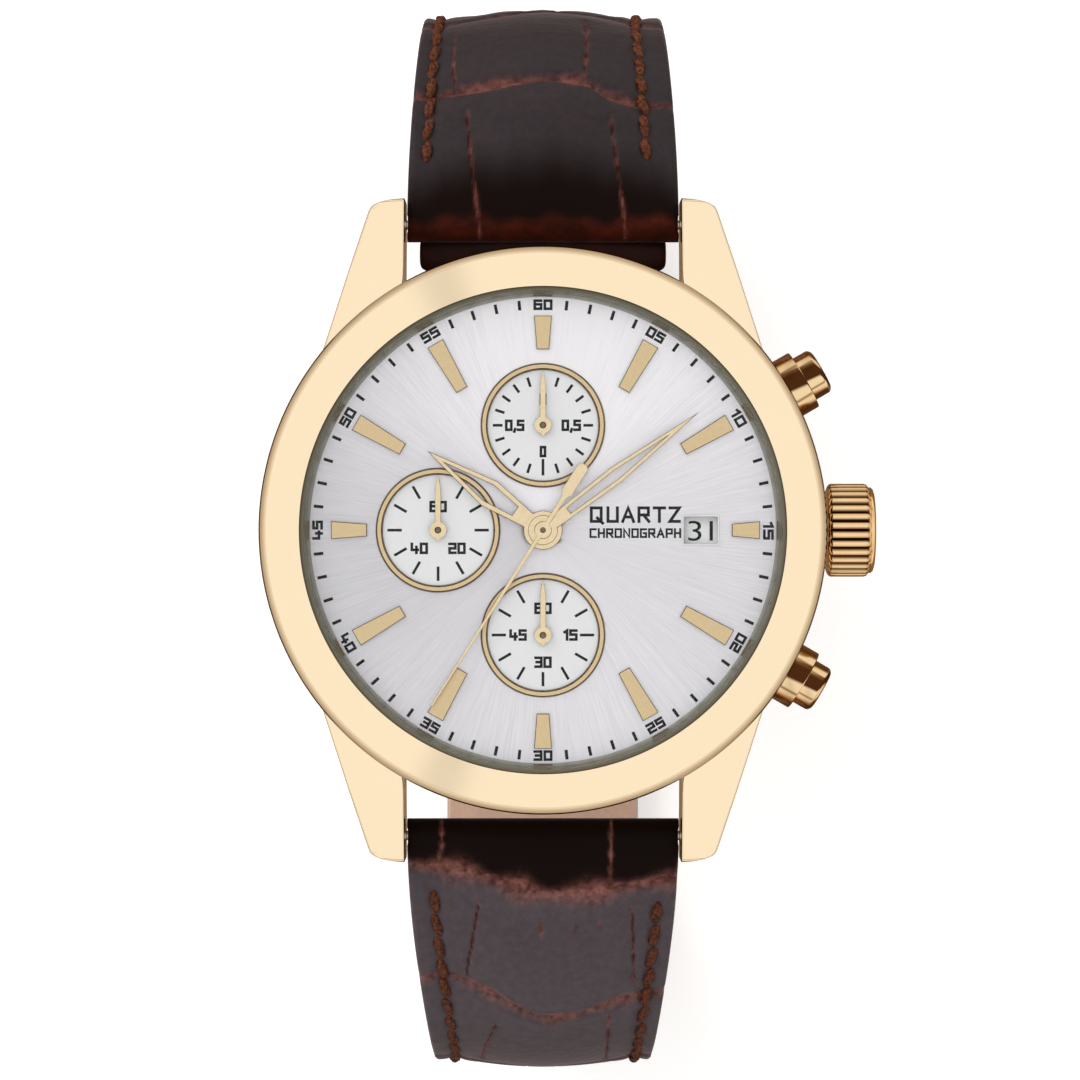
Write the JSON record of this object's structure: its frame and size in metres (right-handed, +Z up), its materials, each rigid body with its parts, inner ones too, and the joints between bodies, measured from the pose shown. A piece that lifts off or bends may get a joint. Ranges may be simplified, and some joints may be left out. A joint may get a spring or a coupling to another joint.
{
  "type": "chronograph wristwatch",
  "caption": "Round chronograph wristwatch: gold-plated case, silver sunburst dial with sub-dials, crown, pushers and a padded leather strap with a pin buckle.",
  "frame": {"origin": "on the surface that the closed strap stands on, straight below the dial's centre", "axes": "+Z up out of the dial, +Y towards twelve o'clock, +X towards the crown at three o'clock"},
  "size_m": [0.0457, 0.0834, 0.0459],
  "materials": {
    "gold": "polished, pale gold plated",
    "pale_gold": "fine brushed pale gold",
    "dial_silver": "silver sunburst brushed",
    "steel": "brushed",
    "movement_brass": "plain brass",
    "crystal": "clear polished mineral glass",
    "rubber_seal": "matt black",
    "white_plastic": "matt white",
    "circuit": "green solder mask",
    "coil_copper": "enamelled copper wire",
    "strap_leather": "dark brown, crocodile embossed, semi-gloss",
    "strap_lining": "tan, matt"
  },
  "bodies": {
    "case": {"case_middle": "gold", "bezel": "gold", "crystal": "crystal", "crystal_gasket": "white_plastic", "flange_ring": "dial_silver", "dial": "dial_silver", "subdial_ring_12": "pale_gold", "subdial_ring_9": "pale_gold", "subdial_ring_6": "pale_gold", "case_back": "steel", "case_back_gasket": "rubber_seal", "movement_holder": "white_plastic", "crown_tube": "steel", "pusher_2_tube": "gold", "pusher_4_tube": "gold", "pusher_2_spring": "steel", "pusher_4_spring": "steel", "lug_spring_bar_12": "steel", "lug_spring_bar_6": "steel", "main_plate": "movement_brass", "train_bridge": "movement_brass", "circuit_board": "circuit", "battery": "steel", "coil": "coil_copper", "stator": "steel"},
    "seconds": {"second_hand": "pale_gold", "seconds_wheel": "movement_brass"},
    "minutes": {"minute_hand": "pale_gold", "cannon_pinion": "movement_brass", "centre_wheel": "movement_brass"},
    "hours": {"hour_hand": "pale_gold", "hour_wheel": "movement_brass"},
    "minute_reduction": {"minute_wheel": "movement_brass"},
    "third": {"third_wheel": "movement_brass"},
    "fifth": {"fifth_wheel": "movement_brass"},
    "rotor_body": {"rotor": "steel"},
    "date": {"date_disc": "white_plastic"},
    "chrono_seconds": {"subdial_hand_6": "pale_gold", "chrono_seconds_wheel": "movement_brass"},
    "chrono_minutes": {"subdial_hand_9": "pale_gold", "minute_counter_wheel": "movement_brass"},
    "chrono_fractions": {"subdial_hand_12": "pale_gold", "fraction_wheel": "movement_brass"},
    "stem_slide": {"crown_gasket": "rubber_seal"},
    "crown_body": {"crown": "gold", "winding_stem": "steel"},
    "start_pusher": {"pusher_2": "gold", "pusher_2_clip": "steel"},
    "reset_pusher": {"pusher_4": "gold", "pusher_4_clip": "steel"},
    "strap_12": {"strap_12_leather": "strap_leather", "strap_12_lining": "strap_lining", "buckle_spring_bar": "steel", "fixed_keeper": "strap_leather"},
    "keeper_body": {"free_keeper": "strap_leather"},
    "buckle_body": {"buckle_frame": "gold"},
    "tongue_body": {"buckle_tongue": "gold"},
    "strap_6": {"strap_6_leather": "strap_leather", "strap_6_lining": "strap_lining"}
  },
  "joints": [
    {"name": "second_hand_spin", "type": "hinge", "parent": "case", "child": "seconds", "pos_m": [0, 0, 0.0439], "axis": [0, 0, -1], "continuous": true},
    {"name": "minute_hand_spin", "type": "hinge", "parent": "case", "child": "minutes", "pos_m": [0, 0, 0.0436], "axis": [0, 0, -1], "continuous": true},
    {"name": "hour_hand_spin", "type": "hinge", "parent": "case", "child": "hours", "pos_m": [0, 0, 0.0432], "axis": [0, 0, -1], "continuous": true},
    {"name": "minute_wheel_spin", "type": "hinge", "parent": "case", "child": "minute_reduction", "pos_m": [-0.00219, 0.00219, 0.0415], "axis": [0, 0, -1], "continuous": true},
    {"name": "third_wheel_spin", "type": "hinge", "parent": "case", "child": "third", "pos_m": [0.00255, 0.00255, 0.0385], "axis": [0, 0, -1], "continuous": true},
    {"name": "fifth_wheel_spin", "type": "hinge", "parent": "case", "child": "fifth", "pos_m": [0.00295, -0.00206, 0.0392], "axis": [0, 0, -1], "continuous": true},
    {"name": "rotor_spin", "type": "hinge", "parent": "case", "child": "rotor_body", "pos_m": [0.00541, -0.00379, 0.0387], "axis": [0, 0, -1], "continuous": true},
    {"name": "date_disc_spin", "type": "hinge", "parent": "case", "child": "date", "pos_m": [0, 0, 0.0418], "axis": [0, 0, -1], "continuous": true},
    {"name": "chrono_seconds_spin", "type": "hinge", "parent": "case", "child": "chrono_seconds", "pos_m": [0, -0.00778, 0.043], "axis": [0, 0, -1], "continuous": true},
    {"name": "chrono_minutes_spin", "type": "hinge", "parent": "case", "child": "chrono_minutes", "pos_m": [-0.00778, 0, 0.043], "axis": [0, 0, -1], "continuous": true},
    {"name": "chrono_fractions_spin", "type": "hinge", "parent": "case", "child": "chrono_fractions", "pos_m": [0, 0.00778, 0.043], "axis": [0, 0, -1], "continuous": true},
    {"name": "crown_pull", "type": "slide", "parent": "case", "child": "stem_slide", "axis": [1, 0, 0], "range_m": [0, 0.001]},
    {"name": "crown_turn", "type": "hinge", "parent": "stem_slide", "child": "crown_body", "pos_m": [0.0229, 0, 0.0402], "axis": [1, 0, 0], "continuous": true},
    {"name": "start_push", "type": "slide", "parent": "case", "child": "start_pusher", "axis": [-0.866, -0.5, 0], "range_m": [0, 0.0007], "stiffness_N_per_m": 800, "springref_m": -0.0003, "deforming": ["pusher_2_spring"]},
    {"name": "reset_push", "type": "slide", "parent": "case", "child": "reset_pusher", "axis": [-0.866, 0.5, 0], "range_m": [0, 0.0007], "stiffness_N_per_m": 800, "springref_m": -0.0003, "deforming": ["pusher_4_spring"]},
    {"name": "strap_6_swing", "type": "hinge", "parent": "case", "child": "strap_6", "pos_m": [0, -0.023, 0.0375], "axis": [-1, 0, 0], "range_deg": [0, 75]},
    {"name": "strap_12_swing", "type": "hinge", "parent": "case", "child": "strap_12", "pos_m": [0, 0.023, 0.0375], "axis": [1, 0, 0], "range_deg": [0, 52]},
    {"name": "free_keeper_slide", "type": "slide", "parent": "strap_12", "child": "keeper_body", "axis": [0, 0.9944, -0.1053], "range_m": [-0.0016, 0.002]},
    {"name": "buckle_frame_swing", "type": "hinge", "parent": "strap_12", "child": "buckle_body", "pos_m": [0, 0.005, 0.0098], "axis": [-1, 0, 0], "range_deg": [0, 80]},
    {"name": "buckle_tongue_swing", "type": "hinge", "parent": "strap_12", "child": "tongue_body", "pos_m": [0, 0.005, 0.0098], "axis": [1, 0, 0], "range_deg": [0, 28]}
  ],
  "couplings": [
    {"joint": "minute_hand_spin", "follows": "second_hand_spin", "ratio": 0.016667},
    {"joint": "hour_hand_spin", "follows": "second_hand_spin", "ratio": 0.0013889},
    {"joint": "minute_wheel_spin", "follows": "second_hand_spin", "ratio": -0.0055556},
    {"joint": "third_wheel_spin", "follows": "second_hand_spin", "ratio": -0.13333},
    {"joint": "fifth_wheel_spin", "follows": "second_hand_spin", "ratio": -6},
    {"joint": "rotor_spin", "follows": "second_hand_spin", "ratio": 30},
    {"joint": "date_disc_spin", "follows": "second_hand_spin", "ratio": 0.000022401},
    {"joint": "chrono_minutes_spin", "follows": "chrono_seconds_spin", "ratio": 0.016667},
    {"joint": "chrono_fractions_spin", "follows": "chrono_seconds_spin", "ratio": 30},
    {"joint": "strap_12_swing", "follows": "strap_6_swing", "ratio": 0.66}
  ]
}
